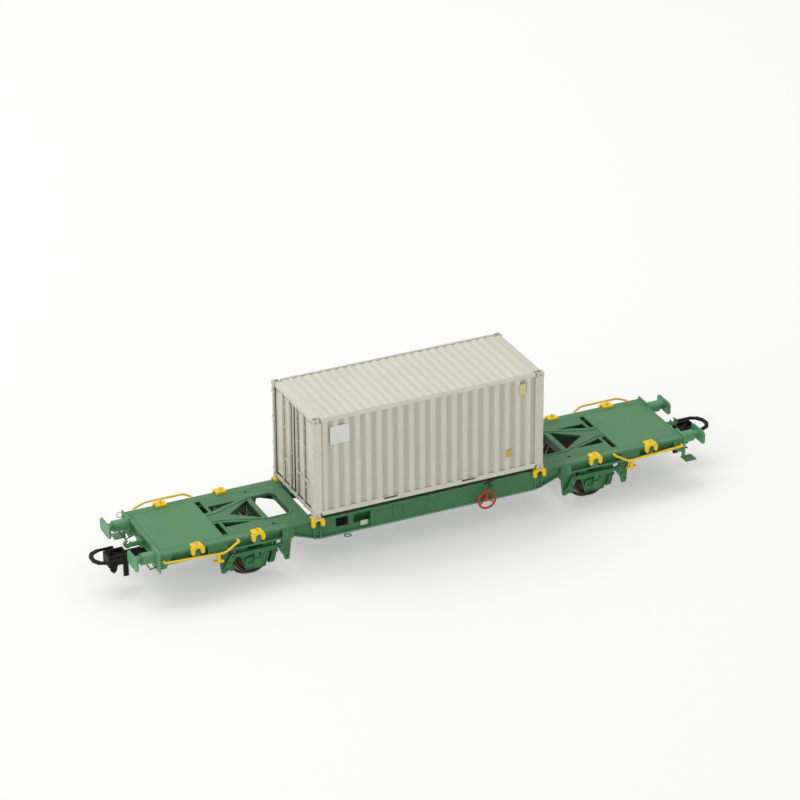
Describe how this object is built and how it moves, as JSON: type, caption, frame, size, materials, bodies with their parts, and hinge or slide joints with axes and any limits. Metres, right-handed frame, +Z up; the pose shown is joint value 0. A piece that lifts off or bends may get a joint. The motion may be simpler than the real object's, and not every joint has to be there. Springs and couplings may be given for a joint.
{
  "type": "H0 scale model of a two-axle container flatcar with a 20 ft container",
  "caption": "H0 scale model flatcar with open end platforms and deep middle beams, carrying a removable box container on twist locks, with hook-and-loop couplers.",
  "frame": {"origin": "middle of the wagon, on the surface that its wheel flanges stand on", "axes": "+X along the wagon, the container's doors facing -X; +Y across; +Z up"},
  "size_m": [0.1888, 0.0304, 0.0454],
  "materials": {
    "green_frame": "satin green moulded plastic",
    "green_deck": "satin green moulded plastic, pale from light on top",
    "green_buffer": "satin green moulded plastic",
    "green_running": "satin dark green moulded plastic",
    "brake_iron": "dark brown moulded plastic",
    "wheel_metal": "blackened metal wheels",
    "coupler_black": "black acetal",
    "yellow_fittings": "satin yellow moulded plastic",
    "red_wheel": "satin red moulded plastic",
    "dark_wire": "blackened wire",
    "container_grey": "satin warm grey painted plastic",
    "container_roof_grey": "satin warm grey painted plastic",
    "marking_yellow": "satin pale yellow and grey blank plates",
    "container_door_grey": "satin warm grey painted plastic"
  },
  "bodies": {
    "wagon": {"side_beams": "green_frame", "cross_members": "green_frame", "open_frame_left": "green_deck", "open_frame_right": "green_deck", "deck_plate_left": "green_deck", "deck_plate_right": "green_deck", "side_sills_left": "green_frame", "side_sills_right": "green_frame", "headstocks": "green_frame", "buffers": "green_buffer", "draw_hooks": "green_frame", "axle_guards": "green_running", "leaf_springs": "green_running", "axle_boxes": "green_running", "brake_gear": "brake_iron", "brake_cylinder": "green_running", "twist_locks_20ft": "yellow_fittings", "twist_locks_30ft": "yellow_fittings", "twist_locks_40ft": "yellow_fittings", "handrails_near": "yellow_fittings", "handrails_far": "yellow_fittings", "change_over_handles": "yellow_fittings", "brake_wheels": "red_wheel", "corner_steps": "green_frame", "shunter_handles": "dark_wire"},
    "container": {"container_floor": "container_grey", "container_side_near": "container_grey", "container_side_far": "container_grey", "container_roof": "container_roof_grey", "container_front": "container_grey", "front_posts": "container_grey", "door_frame": "container_door_grey", "door_near": "container_door_grey", "door_far": "container_door_grey", "door_hinges": "container_door_grey", "side_plates": "marking_yellow", "corner_castings": "container_grey", "locking_bars": "container_door_grey"},
    "wheelset_left": {"wheelset_left": "wheel_metal"},
    "wheelset_right": {"wheelset_right": "wheel_metal"},
    "coupler_left": {"coupler_left": "coupler_black"},
    "coupler_right": {"coupler_right": "coupler_black"},
    "coupler_loop_left": {"coupler_loop_left": "coupler_black"},
    "coupler_loop_right": {"coupler_loop_right": "coupler_black"}
  },
  "joints": [
    {"name": "wheelset_left_spin", "type": "hinge", "parent": "wagon", "child": "wheelset_left", "pos_m": [-0.0517, 0, 0.0065], "axis": [0, 1, 0], "continuous": true},
    {"name": "wheelset_right_spin", "type": "hinge", "parent": "wagon", "child": "wheelset_right", "pos_m": [0.0517, 0, 0.0065], "axis": [0, 1, 0], "continuous": true},
    {"name": "coupler_left_swing", "type": "hinge", "parent": "wagon", "child": "coupler_left", "pos_m": [-0.0756, 0, 0.0099], "axis": [0, 0, 1], "range_deg": [-12, 12]},
    {"name": "coupler_right_swing", "type": "hinge", "parent": "wagon", "child": "coupler_right", "pos_m": [0.0756, 0, 0.0099], "axis": [0, 0, 1], "range_deg": [-12, 12]},
    {"name": "coupler_left_loop_lift", "type": "hinge", "parent": "coupler_left", "child": "coupler_loop_left", "pos_m": [-0.0868, 0, 0.0106], "axis": [0, 1, 0], "range_deg": [0, 25]},
    {"name": "coupler_right_loop_lift", "type": "hinge", "parent": "coupler_right", "child": "coupler_loop_right", "pos_m": [0.0868, 0, 0.0106], "axis": [0, -1, 0], "range_deg": [0, 25]},
    {"name": "container_lift", "type": "slide", "parent": "wagon", "child": "container", "axis": [0, 0, 1], "range_m": [0, 0.03]}
  ]
}
